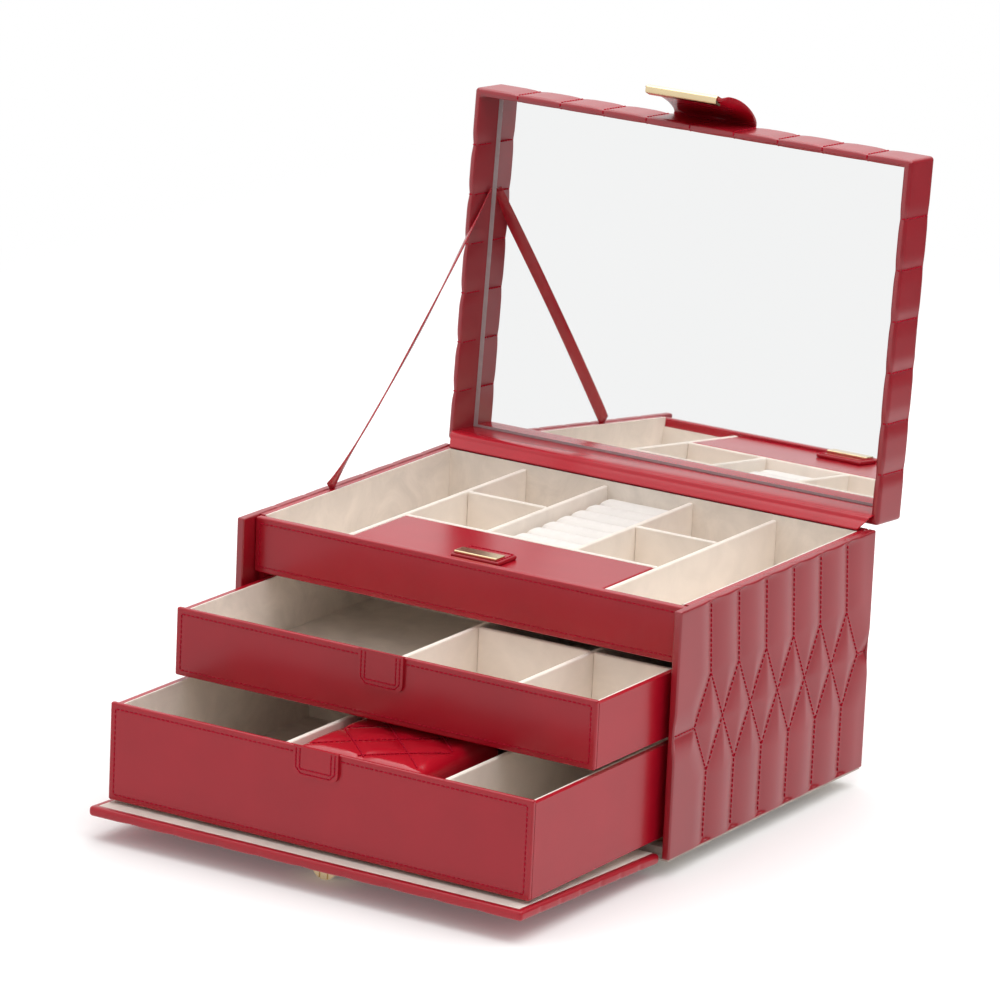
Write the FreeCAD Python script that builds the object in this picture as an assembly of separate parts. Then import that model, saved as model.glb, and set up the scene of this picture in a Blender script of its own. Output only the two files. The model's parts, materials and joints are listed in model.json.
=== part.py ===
import FreeCAD, Part
import math
import os

# A leather jewellery case with a mirrored lid, a lined tray, two drawers and a drop-down front flap.
# Millimetres. X runs to the right, Y to the back and Z up. The origin is on the surface that the case
# stands on, below the middle of its base. The case is open: lid up, drawers drawn out, flap down.

Vector = FreeCAD.Vector
X_AXIS = Vector(1, 0, 0)
SAME_LEVEL = 1e-6

# Overall sizes
case_width = 280.0
case_depth = 210.0
wall_height = 136.0

# Feet and base
stud_height = 9.0
stud_radius = 8.0
stud_tip_radius = 5.0
stud_inset = 26.0
felt_thickness = 1.0
felt_inset = 1.0
base_thickness = 4.0
runner_width = 11.0

# Outer walls and their quilted covers
wall_board = 2.0
quilt_thickness = 2.5
quilt_edge_radius = 1.6
seam_width = 6.0
seam_depth = 1.3
side_columns = 7
back_columns = 10
side_margin = 2.0
fork_low_share = 0.305
fork_high_share = 0.675

# Inner carcass, fascia and shelves
carcass_board = 3.2
carcass_drop = 0.4
front_recess = 11.0
fascia_thickness = 5.0
fascia_height = 31.0
fascia_drop = 0.8
leather_edge_radius = 1.1
largest_fillet_share = 0.45
shelf_thickness = 3.0
tray_floor_thickness = 2.5

# Tray
lining_board = 1.0
divider_thickness = 3.0
divider_radius = 0.9
divider_drop = 3.0
long_divider_x = 81.2
roll_divider_x = 27.7
compartment_depth = 59.0
front_bay_depth = 60.5
roll_count = 8
roll_drop = 5.5
roll_crown = 5.5
roll_gap = 0.3
roll_foam_height = 7.0

# Covered compartment's lid
panel_thickness = 3.0
panel_gap = 0.5
pull_width = 30.0
pull_depth = 20.0
pull_thickness = 2.6
pull_setback = 2.5
plate_length = 27.0
plate_depth = 9.0
plate_thickness = 1.6

# Main lid
lid_height = 27.0
lid_lift = 1.1
lid_back_inset = 1.05
lid_front_inset = 5.95
lid_cover = 2.0
lid_corner_radius = 3.0
lid_seam_width = 5.0
lid_seam_depth = 1.0
lid_columns = 10
lid_side_margin = 4.2
lid_rail = 2.2
lid_board = 3.0
mirror_thickness = 2.0
mirror_bevel = 1.4
mirror_gap = 0.2
lid_open_angle = 93.87
lid_hinge_behind = 0.5
lid_hinge_above = 0.4
hinge_leather = 0.8

# Stay strap
strap_width = 9.0
strap_thickness = 1.2
strap_lid_reach = 140.5
strap_mirror_gap = 1.5
strap_lid_depth = lid_height - lid_cover - lid_board - mirror_thickness - strap_mirror_gap
strap_case_y = -21.0
strap_seat_gap = 0.2
strap_side_gap = 0.3

# Lock tab on the lid
tab_root_half = 26.0
tab_belly_half = 29.0
tab_end_half = 24.0
tab_length = 41.0
tab_thickness = 2.2
tab_base_depth = 20.0
tab_stand_off = 1.2
tab_fold_gap = 0.3
tab_rest_angle = 20.6
clip_half = 22.5
clip_depth = 15.0
clip_return = 3.5
clip_thickness = 1.2
slot_length = 20.0
slot_width = 8.5

# Front flap and its lock
flap_overlap = 3.0
flap_thickness = 5.5
flap_side_gap = 0.4
flap_rear_gap = 0.4
flap_lining = 0.8
flap_border = 4.0
flap_board = 2.4
flap_wrap = 1.4
flap_seam_depth = 0.8
flap_edge_radius = 0.6
flap_slope = 2.03
flap_hinge_inset = 4.5
flap_hinge_drop = 1.1
lock_from_edge = 26.0
lock_plate_length = 30.0
lock_plate_width = 18.0
lock_plate_thickness = 1.5
lock_post_radius = 2.6
knob_width = 15.0
knob_height = 7.3
knob_thickness = 5.6
knob_floor_gap = 0.15
knob_groove = 0.9

# Drawers
facing_side_gap = 0.8
drawer_side_gap = 1.0
facing_thickness = 3.2
facing_gap = 1.3
facing_overlap = 2.0
facing_drop = 0.4
runner_gap = 0.3
drawer_board = 3.0
drawer_floor = 2.0
drawer_lining = 1.0
drawer_back_gap = 2.5
drawer_divider_drop = 1.5
lower_drawer_lift = 5.3
lower_facing_height = 54.0
fascia_gap = 1.9
upper_drawer_out = 78.6
lower_drawer_out = 137.4
upper_divider_xs = (5.0, 77.0)
upper_cross_reach = 78.0
lower_divider_xs = (-26.5, 72.0)
pull_tab_width = 28.0
upper_pull_height = 20.5
lower_pull_height = 16.5
pull_tab_thickness = 1.8
pull_tab_radius = 5.0
pull_tab_rise = 0.8

# Travel case in the lower drawer
travel_gap = 2.5
travel_right_gap = 15.0
travel_length = 84.0
travel_headroom = 1.0
travel_corner = 11.0
travel_edge = 6.0
travel_zip_height = 3.0
travel_zip_inset = 1.2
travel_seam_pitch = 32.0
travel_seam_width = 5.0
travel_seam_depth = 1.4
zip_pull_length = 16.0
zip_pull_width = 6.0
zip_pull_thickness = 1.2
zip_pull_gap = 0.2

# Levels and planes that follow from the sizes above
half_width = case_width / 2
front_y = -case_depth / 2
back_y = case_depth / 2
wall_low = stud_height + felt_thickness
wall_top = wall_low + wall_height
wall_thickness = wall_board + quilt_thickness
inner_x = half_width - wall_thickness
inner_back_y = back_y - wall_thickness
cell_x = inner_x - carcass_board
cell_back_y = inner_back_y - carcass_board
face_y = front_y + front_recess
fascia_back_y = face_y + fascia_thickness
fascia_top = wall_top - fascia_drop
base_top = wall_low + base_thickness
lower_facing_low = base_top + lower_drawer_lift
runner_top = lower_facing_low + facing_drop - runner_gap
carcass_top = wall_top - carcass_drop
tray_floor_low = fascia_top - fascia_height
tray_low = tray_floor_low + tray_floor_thickness
divider_top = wall_top - divider_drop
panel_low = divider_top - panel_thickness
lining_x = cell_x - lining_board
lining_back_y = cell_back_y - lining_board
lining_front_y = fascia_back_y + lining_board
back_divider_y = fascia_back_y + compartment_depth
bay_front_y = back_divider_y + divider_thickness
cross_divider_y = bay_front_y + front_bay_depth
hinge_y = back_y + lid_hinge_behind
hinge_z = wall_top + lid_hinge_above
lid_back_y = back_y - lid_back_inset
lid_front_y = front_y + lid_front_inset
lid_length = lid_back_y - lid_front_y
lid_low = wall_top + lid_lift
lid_top = lid_low + lid_height
flap_hinge_y = front_y + flap_hinge_inset
flap_hinge_height = base_top - flap_hinge_drop
flap_length = wall_height + flap_overlap
upper_facing_low = lower_facing_low + lower_facing_height + facing_gap
upper_facing_height = tray_floor_low - fascia_gap - upper_facing_low
shelf_top = upper_facing_low + facing_drop - runner_gap


def box(low, high):
    """A block between two corners."""
    size = Vector(*high) - Vector(*low)
    return Part.makeBox(size.x, size.y, size.z, Vector(*low))


def soft_box(low, high, radius):
    """A block between two corners with all its edges rounded."""
    block = box(low, high)
    thinnest = min(b - a for a, b in zip(low, high))
    return block.makeFillet(min(radius, largest_fillet_share * thinnest), block.Edges)


def mirrored_pair(maker):
    """Two solids, one on each side of the middle, from a function of the side's sign."""
    return Part.makeCompound([maker(-1), maker(1)])


def sided_box(side, inner, outer, low_y, high_y, low_z, high_z, radius=0.0):
    """A block on one side of the middle, given by its distances from the middle plane."""
    ends = sorted((side * inner, side * outer))
    low = (ends[0], low_y, low_z)
    high = (ends[1], high_y, high_z)
    return soft_box(low, high, radius) if radius else box(low, high)


def set_on(shape, origin, along, up):
    """Moves a shape drawn flat, X along and Y up, to a face with the given directions."""
    out = along.cross(up)
    turn = FreeCAD.Rotation(along, up, out, "XYZ")
    placed = shape.copy()
    placed.Placement = FreeCAD.Placement(origin, turn)
    return placed


def turned(shape, axis_y, axis_z, degrees):
    """A copy turned about an axis parallel to X."""
    copy = shape.copy()
    copy.rotate(Vector(0, axis_y, axis_z), X_AXIS, degrees)
    return copy


def turned_point(y, z, axis_y, axis_z, degrees):
    """A point of the side view turned about an axis parallel to X."""
    angle = math.radians(degrees)
    dy = y - axis_y
    dz = z - axis_z
    new_y = axis_y + dy * math.cos(angle) - dz * math.sin(angle)
    new_z = axis_z + dy * math.sin(angle) + dz * math.cos(angle)
    return new_y, new_z


def opened_point(y, z):
    """Where a point of the shut lid's side view comes when the lid is open."""
    return turned_point(y, z, hinge_y, hinge_z, -lid_open_angle)


def seam_places(width, columns, first_margin, last_margin):
    """The seams' pitch and places across a panel whose end columns are wider by their margins."""
    pitch = (width - first_margin - last_margin) / columns
    return pitch, [first_margin + k * pitch for k in range(1, columns)]


def straight_seams(width, height, columns, first_margin=0, last_margin=0):
    """Seams that run straight across a band."""
    places = seam_places(width, columns, first_margin, last_margin)[1]
    return [((x, 0), (x, height)) for x in places]


def forked_seams(width, height, columns, margin=0):
    """Channel seams that fork into a row of diamonds across the middle of a panel."""
    pitch, places = seam_places(width, columns, margin, margin)
    low = fork_low_share * height
    high = fork_high_share * height
    middle = (low + high) / 2
    seams = []
    for k, x in enumerate(places):
        seams.append(((x, 0), (x, low)))
        seams.append(((x, high), (x, height)))
        for step in (-1, 1):
            if 0 <= k + step < len(places):
                seams.append(((x, high), (x + step * pitch, low)))
                continue
            turn = (x + step * pitch / 2, middle)
            edge = (0 if step < 0 else width, middle)
            seams.extend([((x, high), turn), (turn, (x, low)), (turn, edge)])
    return seams


def seam_cutter(start, end, top, width, depth):
    """A V-shaped bar along a seam, whose edge lies the seam's depth below the surface."""
    first = Vector(start[0], start[1], top)
    run = Vector(end[0], end[1], top) - first
    ahead = Vector(run)
    ahead.normalize()
    across = Vector(-ahead.y, ahead.x, 0) * (width / 2)
    overrun = ahead * (width / 4)
    rise = Vector(0, 0, depth)
    start_point = first - overrun
    corners = [start_point - rise, start_point + across * 2 + rise, start_point - across * 2 + rise]
    profile = Part.Face(Part.makePolygon(corners + corners[:1]))
    return profile.extrude(run + overrun * 2)


def quilted_panel(width, height, thickness, seams, width_of_seam, depth_of_seam):
    """A padded panel drawn flat, its outer face up, with its seams drawn in."""
    slab = box((0, 0, 0), (width, height, thickness))
    rim = [e for e in slab.Edges if all(abs(v.Z - thickness) < SAME_LEVEL for v in e.Vertexes)]
    slab = slab.makeFillet(quilt_edge_radius, rim)
    cutters = [seam_cutter(a, b, thickness, width_of_seam, depth_of_seam) for a, b in seams]
    return slab.cut(cutters)


def extruded_profile(points, half_length):
    """A bar along X from points of the side view (Y, Z)."""
    corners = [Vector(-half_length, y, z) for y, z in points]
    face = Part.Face(Part.makePolygon(corners + corners[:1]))
    return face.extrude(Vector(2 * half_length, 0, 0))


def strip_profile(points, thickness):
    """The outline of a thin strip that follows points of the side view, thickened upwards."""
    upper = []
    for i, (y, z) in enumerate(points):
        before = points[max(i - 1, 0)]
        after = points[min(i + 1, len(points) - 1)]
        run_y = after[0] - before[0]
        run_z = after[1] - before[1]
        length = math.hypot(run_y, run_z)
        upper.append((y - run_z / length * thickness, z + run_y / length * thickness))
    return list(points) + upper[::-1]


def base_pieces():
    """Felt, base board, stud feet and the runners of the lower drawer."""
    felt_x = half_width - felt_inset
    felt = box((-felt_x, front_y + felt_inset, stud_height), (felt_x, back_y - felt_inset, wall_low))
    board_front = front_y + flap_hinge_inset + flap_thickness / 2
    board = box((-inner_x, board_front, wall_low), (inner_x, inner_back_y, base_top))
    studs = []
    for x in (-half_width + stud_inset, half_width - stud_inset):
        for y in (front_y + stud_inset, back_y - stud_inset):
            stud = Part.makeCone(stud_tip_radius, stud_radius, stud_height, Vector(x, y, 0))
            studs.append(stud)
    runners = mirrored_pair(
        lambda side: sided_box(side, cell_x - runner_width, cell_x, fascia_back_y, cell_back_y,
                               base_top, runner_top))
    return {"base_felt": felt, "base_board": board, "base_studs": Part.makeCompound(studs),
            "drawer_runners": runners}


def wall_pieces():
    """Outer wall boards and the quilted covers on them."""
    board_x = half_width - quilt_thickness
    back_board_y = back_y - quilt_thickness
    nodes = {"side_wall_boards": mirrored_pair(
        lambda side: sided_box(side, inner_x, board_x, front_y, back_board_y, wall_low, wall_top))}
    for name, side in (("left", -1), ("right", 1)):
        panel = quilted_panel(case_depth, wall_height, quilt_thickness,
                              forked_seams(case_depth, wall_height, side_columns, side_margin),
                              seam_width, seam_depth)
        start_y = front_y if side > 0 else back_y
        nodes[name + "_quilted_cover"] = set_on(panel, Vector(side * board_x, start_y, wall_low),
                                                Vector(0, side, 0), Vector(0, 0, 1))
    nodes["back_wall_board"] = box((-inner_x, inner_back_y, wall_low),
                                   (inner_x, back_board_y, wall_top))
    back_panel = quilted_panel(2 * board_x, wall_height, quilt_thickness,
                               forked_seams(2 * board_x, wall_height, back_columns),
                               seam_width, seam_depth)
    nodes["back_quilted_cover"] = set_on(back_panel, Vector(board_x, back_board_y, wall_low),
                                         Vector(-1, 0, 0), Vector(0, 0, 1))
    return nodes


def carcass_pieces():
    """The inner box that carries the drawers and the tray, with the fascia on its front."""
    sides = mirrored_pair(
        lambda side: sided_box(side, cell_x, inner_x, fascia_back_y, inner_back_y, base_top, carcass_top))
    back = box((-cell_x, cell_back_y, base_top), (cell_x, inner_back_y, carcass_top))
    shelf_front = face_y + facing_thickness + runner_gap
    shelf = box((-cell_x, max(shelf_front, fascia_back_y), shelf_top - shelf_thickness),
                (cell_x, cell_back_y, shelf_top))
    tray_floor = box((-cell_x, fascia_back_y, tray_floor_low), (cell_x, cell_back_y, tray_low))
    fascia = soft_box((-inner_x, face_y, tray_floor_low), (inner_x, fascia_back_y, fascia_top),
                      leather_edge_radius)
    return {"carcass_sides": sides, "carcass_back": back, "drawer_shelf": shelf,
            "tray_floor": tray_floor, "fascia_panel": fascia}


def ring_roll(low_y, high_y):
    """One padded roll with a rounded crown, lying along X between the roll dividers."""
    half = roll_divider_x - divider_thickness / 2 - roll_gap
    low_z = tray_low + roll_foam_height
    top_z = divider_top - roll_drop
    shoulder = top_z - roll_crown
    middle = (low_y + high_y) / 2
    crown = Part.Arc(Vector(-half, low_y, shoulder), Vector(-half, middle, top_z),
                     Vector(-half, high_y, shoulder)).toShape()
    rest = Part.makePolygon([Vector(-half, high_y, shoulder), Vector(-half, high_y, low_z),
                             Vector(-half, low_y, low_z), Vector(-half, low_y, shoulder)])
    profile = Part.Face(Part.Wire([crown] + rest.Edges))
    return profile.extrude(Vector(2 * half, 0, 0))


def tray_pieces():
    """Lining boards, dividers and ring rolls of the open tray."""
    half_divider = divider_thickness / 2
    boards = [sided_box(side, lining_x, cell_x, fascia_back_y, cell_back_y, tray_low, carcass_top)
              for side in (-1, 1)]
    boards.append(box((-lining_x, fascia_back_y, tray_low), (lining_x, lining_front_y, panel_low)))
    boards.append(box((-lining_x, lining_back_y, tray_low), (lining_x, cell_back_y, carcass_top)))

    def upright(x, low_y, high_y):
        return soft_box((x - half_divider, low_y, tray_low), (x + half_divider, high_y, divider_top),
                        divider_radius)

    bay_x = long_divider_x - half_divider
    long_dividers = mirrored_pair(
        lambda side: upright(side * long_divider_x, lining_front_y, lining_back_y))
    roll_dividers = mirrored_pair(
        lambda side: upright(side * roll_divider_x, bay_front_y, lining_back_y))
    back_divider = soft_box((-bay_x, back_divider_y, tray_low), (bay_x, bay_front_y, divider_top),
                            divider_radius)
    cross_dividers = mirrored_pair(
        lambda side: sided_box(side, roll_divider_x + half_divider, bay_x, cross_divider_y,
                               cross_divider_y + divider_thickness, tray_low, divider_top,
                               divider_radius))
    foam_half = roll_divider_x - half_divider - roll_gap
    foam = box((-foam_half, bay_front_y + roll_gap, tray_low),
               (foam_half, lining_back_y - roll_gap, tray_low + roll_foam_height))
    pitch = (lining_back_y - bay_front_y - roll_gap) / roll_count
    rolls = []
    for k in range(roll_count):
        low_y = bay_front_y + roll_gap + k * pitch
        rolls.append(ring_roll(low_y, low_y + pitch - roll_gap))
    return {"tray_lining_boards": Part.makeCompound(boards), "tray_long_dividers": long_dividers,
            "ring_roll_dividers": roll_dividers, "tray_back_divider": back_divider,
            "tray_cross_dividers": cross_dividers, "ring_roll_foam": foam,
            "ring_rolls": Part.makeCompound(rolls)}


def compartment_lid_pieces():
    """The leather panel over the front compartment, with its pull tab and bare plate."""
    panel_x = long_divider_x - divider_thickness / 2 - panel_gap
    panel_front = fascia_back_y + panel_gap
    panel_back = back_divider_y - panel_gap
    panel = soft_box((-panel_x, panel_front, panel_low), (panel_x, panel_back, divider_top),
                     leather_edge_radius)
    tab_top = divider_top + pull_thickness
    tab_front = panel_front + pull_setback
    tab = soft_box((-pull_width / 2, tab_front, divider_top),
                   (pull_width / 2, tab_front + pull_depth, tab_top), leather_edge_radius)
    plate_front = tab_front + leather_edge_radius
    plate = soft_box((-plate_length / 2, plate_front, tab_top),
                     (plate_length / 2, plate_front + plate_depth, tab_top + plate_thickness),
                     plate_thickness / 3)
    return {"compartment_lid_panel": panel, "compartment_pull_tab": tab, "compartment_plate": plate}


def lid_cover_shell():
    """The quilted leather over the lid's top and four sides, drawn with the lid shut."""
    outer = box((-half_width, lid_front_y, lid_low), (half_width, lid_back_y, lid_top))
    rounded = [e for e in outer.Edges if any(v.Z > lid_low + SAME_LEVEL for v in e.Vertexes)]
    outer = outer.makeFillet(lid_corner_radius, rounded)
    cavity = box((-half_width + lid_cover, lid_front_y + lid_cover, lid_low),
                 (half_width - lid_cover, lid_back_y - lid_cover, lid_top - lid_cover))
    faces = [
        (Vector(-half_width, lid_front_y, lid_top), X_AXIS, Vector(0, 1, 0),
         forked_seams(case_width, lid_length, lid_columns)),
        (Vector(-half_width, lid_front_y, lid_low), X_AXIS, Vector(0, 0, 1),
         straight_seams(case_width, lid_height, lid_columns)),
        (Vector(half_width, lid_back_y, lid_low), Vector(-1, 0, 0), Vector(0, 0, 1),
         straight_seams(case_width, lid_height, lid_columns)),
        (Vector(half_width, lid_front_y, lid_low), Vector(0, 1, 0), Vector(0, 0, 1),
         straight_seams(lid_length, lid_height, side_columns, first_margin=lid_side_margin)),
        (Vector(-half_width, lid_back_y, lid_low), Vector(0, -1, 0), Vector(0, 0, 1),
         straight_seams(lid_length, lid_height, side_columns, last_margin=lid_side_margin)),
    ]
    cutters = []
    for origin, along, up, seams in faces:
        for start, end in seams:
            cutter = seam_cutter(start, end, 0, lid_seam_width, lid_seam_depth)
            cutters.append(set_on(cutter, origin, along, up))
    return outer.cut([cavity] + cutters)


def lid_pieces():
    """The lid's frame, cover, mirror and the sewn base of the lock tab, drawn shut and then opened."""
    rail_x = half_width - lid_cover
    rail_front = lid_front_y + lid_cover
    rail_back = lid_back_y - lid_cover
    board_top = lid_top - lid_cover
    board_low = board_top - lid_board
    clear_x = rail_x - lid_rail
    mirror_low = (-clear_x + mirror_gap, rail_front + lid_rail + mirror_gap, board_low - mirror_thickness)
    mirror_high = (clear_x - mirror_gap, rail_back - lid_rail - mirror_gap, board_low)
    mirror = box(mirror_low, mirror_high)
    face_edges = [e for e in mirror.Edges if all(abs(v.Z - mirror_low[2]) < SAME_LEVEL for v in e.Vertexes)]
    mirror = mirror.makeChamfer(mirror_bevel, face_edges)
    ends = [box((-clear_x, low, lid_low), (clear_x, low + lid_rail, board_low))
            for low in (rail_front, rail_back - lid_rail)]
    fold_y = lid_front_y - tab_stand_off + tab_fold_gap
    tab_base = soft_box((-tab_root_half, fold_y, lid_top),
                        (tab_root_half, fold_y + tab_base_depth, lid_top + tab_thickness),
                        leather_edge_radius)
    shut = {
        "lid_board": box((-rail_x, rail_front, board_low), (rail_x, rail_back, board_top)),
        "lid_side_rails": mirrored_pair(
            lambda side: sided_box(side, clear_x, rail_x, rail_front, rail_back, lid_low, board_low)),
        "lid_end_rails": Part.makeCompound(ends),
        "lid_quilted_cover": lid_cover_shell(),
        "mirror_glass": mirror,
        "lock_tab_base": tab_base,
    }
    return {name: turned(shape, hinge_y, hinge_z, -lid_open_angle) for name, shape in shut.items()}


def tab_outline(thickness):
    """The lock tab's leather drawn flat, its root on the X axis and its free end up."""
    right = Part.Arc(Vector(tab_root_half, 0, 0), Vector(tab_belly_half, tab_length / 2, 0),
                     Vector(tab_end_half, tab_length, 0)).toShape()
    left = Part.Arc(Vector(-tab_end_half, tab_length, 0), Vector(-tab_belly_half, tab_length / 2, 0),
                    Vector(-tab_root_half, 0, 0)).toShape()
    end = Part.makeLine(Vector(tab_end_half, tab_length, 0), Vector(-tab_end_half, tab_length, 0))
    root = Part.makeLine(Vector(-tab_root_half, 0, 0), Vector(tab_root_half, 0, 0))
    return Part.Face(Part.Wire([right, end, left, root])).extrude(Vector(0, 0, thickness))


def lock_tab_pieces():
    """The lock tab that hangs from the lid's front edge, with its hasp clip."""
    slot_y = tab_length - clip_depth / 2
    slot = box((-slot_length / 2, slot_y - slot_width / 2, -tab_thickness),
               (slot_length / 2, slot_y + slot_width / 2, 3 * tab_thickness))
    leather = tab_outline(tab_thickness).cut(slot)
    clip_top = tab_thickness + clip_thickness
    face = box((-clip_half, tab_length - clip_depth, tab_thickness), (clip_half, tab_length, clip_top))
    nose = box((-clip_half, tab_length, -clip_thickness),
               (clip_half, tab_length + clip_thickness, clip_top))
    lip = box((-clip_half, tab_length - clip_return, -clip_thickness), (clip_half, tab_length, 0))
    clip = face.fuse([nose, lip]).removeSplitter().cut(slot)
    flat = {"lock_tab_leather": leather, "lock_tab_clip": clip}
    root_y = lid_front_y - tab_stand_off
    root_z = lid_top + tab_stand_off
    nodes = {}
    for name, shape in flat.items():
        hanging = set_on(shape, Vector(0, root_y, root_z), X_AXIS * -1, Vector(0, 0, -1))
        hanging = turned(hanging, root_y, root_z, -tab_rest_angle)
        nodes[name] = turned(hanging, hinge_y, hinge_z, -lid_open_angle)
    return nodes


def bridging_pieces():
    """Leather that crosses the hinges: the lid's hinge strip, the flap's lining strip and the stay strap."""
    rail_face = lid_back_y - lid_cover - lid_rail - hinge_leather
    mirror_face = lid_top - lid_cover - lid_board - mirror_thickness
    near = opened_point(rail_face, lid_low - hinge_leather / 2)
    far = opened_point(rail_face, mirror_face - hinge_leather)
    seat = wall_top + hinge_leather / 4
    strip = extruded_profile(
        strip_profile([(cell_back_y, seat), (back_y - hinge_leather, seat), near, far], hinge_leather),
        cell_x)
    flap_near = turned_point(front_y - flap_border, flap_hinge_height,
                             flap_hinge_y, flap_hinge_height, -flap_slope)
    lining_seat = base_top + flap_lining / 4
    flap_strip = extruded_profile(
        strip_profile([(flap_near[0], flap_near[1] + flap_lining / 4), (flap_hinge_y, lining_seat),
                       (face_y, lining_seat)], flap_lining),
        cell_x - runner_width)
    strap_x = -(half_width - lid_cover - lid_rail) + strap_side_gap
    lid_end = opened_point(lid_back_y - strap_lid_reach, lid_low + strap_lid_depth)
    case_end = (strap_case_y, wall_top + strap_seat_gap)
    run_y = lid_end[0] - case_end[0]
    run_z = lid_end[1] - case_end[1]
    strap = Part.makeBox(strap_thickness, math.hypot(run_y, run_z), strap_width,
                         Vector(strap_x, case_end[0], case_end[1]))
    strap.rotate(Vector(0, *case_end), X_AXIS, math.degrees(math.atan2(run_z, run_y)))
    return {"lid_hinge_strip": strip, "flap_hinge_strip": flap_strip, "stay_strap": strap}


def turn_knob(lock_y, plate_low):
    """A half-disc knob below its plate, long enough to reach the surface that the case stands on."""
    slope_rise = math.sin(math.radians(flap_slope)) * (flap_hinge_y - lock_y)
    wing_top = knob_height + knob_floor_gap - slope_rise
    radius = knob_width / 2
    post = Part.makeCylinder(lock_post_radius, plate_low - wing_top, Vector(0, lock_y, wing_top))
    near_y = lock_y - knob_thickness / 2
    far_y = lock_y + knob_thickness / 2
    disc = Part.makeCylinder(radius, knob_thickness, Vector(0, near_y, wing_top), Vector(0, 1, 0))
    knob = disc.common(box((-radius, near_y, wing_top - knob_height), (radius, far_y, wing_top)))
    knob = knob.fuse(post).removeSplitter()
    for x in (-knob_width / 6, knob_width / 6):
        for y in (near_y, far_y):
            knob = knob.cut(box((x - knob_groove / 2, y - knob_groove, wing_top - knob_height),
                                (x + knob_groove / 2, y + knob_groove, wing_top)))
    return knob


def flap_pieces():
    """The front flap and its turn lock, drawn level and then sloped as it rests on the knob."""
    half = inner_x - flap_side_gap
    rear = front_y - flap_rear_gap
    front = front_y - flap_length
    top = flap_hinge_height
    low = top - flap_thickness
    board_top = top - flap_lining
    board_low = board_top - flap_board
    width = 2 * half
    length = rear - front
    outer = box((-half, front, low), (half, rear, top))
    outer = outer.makeFillet(flap_edge_radius, outer.Edges)
    board = box((-half + flap_wrap, front + flap_wrap, board_low),
                (half - flap_wrap, rear - flap_wrap, board_top))
    lining = box((-half + flap_border, front + flap_border, board_top),
                 (half - flap_border, rear - flap_wrap, top))
    cutters = [set_on(seam_cutter(a, b, 0, lid_seam_width, flap_seam_depth),
                      Vector(half, front, low), Vector(-1, 0, 0), Vector(0, 1, 0))
               for a, b in forked_seams(width, length, lid_columns)]
    cover = outer.cut([board, lining] + cutters)
    lock_y = front + lock_from_edge
    plate_low = low - lock_plate_thickness
    plate = soft_box((-lock_plate_length / 2, lock_y - lock_plate_width / 2, plate_low),
                     (lock_plate_length / 2, lock_y + lock_plate_width / 2, low),
                     lock_plate_thickness / 3)
    level = {"flap_board": board, "flap_quilted_cover": cover, "flap_lining": lining,
             "lock_base_plate": plate, "lock_knob": turn_knob(lock_y, plate_low)}
    return {name: turned(shape, flap_hinge_y, flap_hinge_height, -flap_slope)
            for name, shape in level.items()}


def drawer_pieces(name, out, facing_low, facing_height, pull_height):
    """A drawer's stitched facing, box, lining and pull tab, drawn out by the given distance."""
    front = face_y - out
    box_front = front + facing_thickness
    box_back = cell_back_y - drawer_back_gap - out
    box_x = cell_x - drawer_side_gap
    box_low = facing_low + facing_drop
    box_top = facing_low + facing_height - facing_overlap
    floor_top = box_low + drawer_floor
    inside_x = box_x - drawer_board
    inside_front = box_front + drawer_board
    inside_back = box_back - drawer_board
    facing_x = cell_x - facing_side_gap
    facing = soft_box((-facing_x, front, facing_low), (facing_x, box_front, facing_low + facing_height),
                      leather_edge_radius)
    sides = mirrored_pair(
        lambda side: sided_box(side, inside_x, box_x, box_front, box_back, box_low, box_top))
    ends = [box((-inside_x, low, floor_top), (inside_x, low + drawer_board, box_top))
            for low in (box_front, inside_back)]
    floor = box((-inside_x, box_front, box_low), (inside_x, box_back, floor_top))
    lined_x = inside_x - drawer_lining
    lining = [sided_box(side, lined_x, inside_x, inside_front, inside_back, floor_top, box_top)
              for side in (-1, 1)]
    lining.append(box((-lined_x, inside_front, floor_top), (lined_x, inside_front + drawer_lining, box_top)))
    lining.append(box((-lined_x, inside_back - drawer_lining, floor_top), (lined_x, inside_back, box_top)))
    tab_top = facing_low + facing_height + pull_tab_rise
    tab = box((-pull_tab_width / 2, front - pull_tab_thickness, tab_top - pull_height),
              (pull_tab_width / 2, front, tab_top))
    corners = [e for e in tab.Edges if abs(e.Vertexes[0].Y - e.Vertexes[-1].Y) > pull_tab_thickness / 2
               and e.Vertexes[0].Z < tab_top - pull_height / 2]
    tab = tab.makeFillet(pull_tab_radius, corners)
    room = {"front": inside_front + drawer_lining, "back": inside_back - drawer_lining, "x": lined_x,
            "low": floor_top, "top": box_top - drawer_divider_drop, "rim": box_top}
    nodes = {name + "_drawer_facing": facing, name + "_drawer_sides": sides,
             name + "_drawer_ends": Part.makeCompound(ends), name + "_drawer_floor": floor,
             name + "_drawer_lining": Part.makeCompound(lining),
             name + "_drawer_pull_tab": tab}
    return nodes, room


def drawer_dividers(room, xs):
    """Uprights from the front lining to the back lining of a drawer."""
    half = divider_thickness / 2
    return Part.makeCompound([soft_box((x - half, room["front"], room["low"]),
                                       (x + half, room["back"], room["top"]), divider_radius)
                              for x in xs])


def upper_drawer_pieces():
    nodes, room = drawer_pieces("upper", upper_drawer_out, upper_facing_low, upper_facing_height,
                                upper_pull_height)
    half = divider_thickness / 2
    first, second = upper_divider_xs
    cross_y = room["front"] + upper_cross_reach
    spans = ((first + half, second - half), (second + half, room["x"]))
    crosses = [soft_box((low, cross_y - half, room["low"]), (high, cross_y + half, room["top"]),
                        divider_radius)
               for low, high in spans]
    nodes["upper_drawer_dividers"] = drawer_dividers(room, upper_divider_xs)
    nodes["upper_drawer_cross_dividers"] = Part.makeCompound(crosses)
    return nodes


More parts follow.
